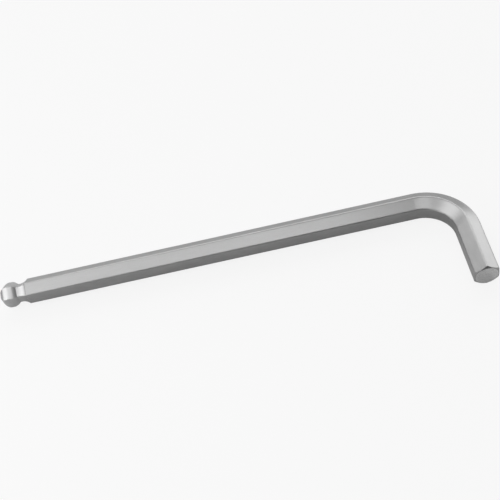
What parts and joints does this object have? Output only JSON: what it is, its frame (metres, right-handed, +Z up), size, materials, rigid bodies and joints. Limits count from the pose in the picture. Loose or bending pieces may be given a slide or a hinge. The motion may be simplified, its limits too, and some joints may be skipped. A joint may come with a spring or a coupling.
{
  "type": "hex key",
  "caption": "L-shaped hex key bent from hexagonal steel bar, with a faceted ball on the long arm's tip and a chamfered flat end on the short arm.",
  "frame": {"origin": "on the surface that the key lies on, under the middle of its outline", "axes": "+X along the long arm, from the ball towards the bend; +Y away from the short arm's end; +Z up from the surface"},
  "size_m": [0.1684, 0.0392, 0.009],
  "materials": {
    "plated_steel": "satin nickel plating over hardened steel"
  },
  "bodies": {
    "root": {"hex_key": "plated_steel"}
  },
  "joints": []
}
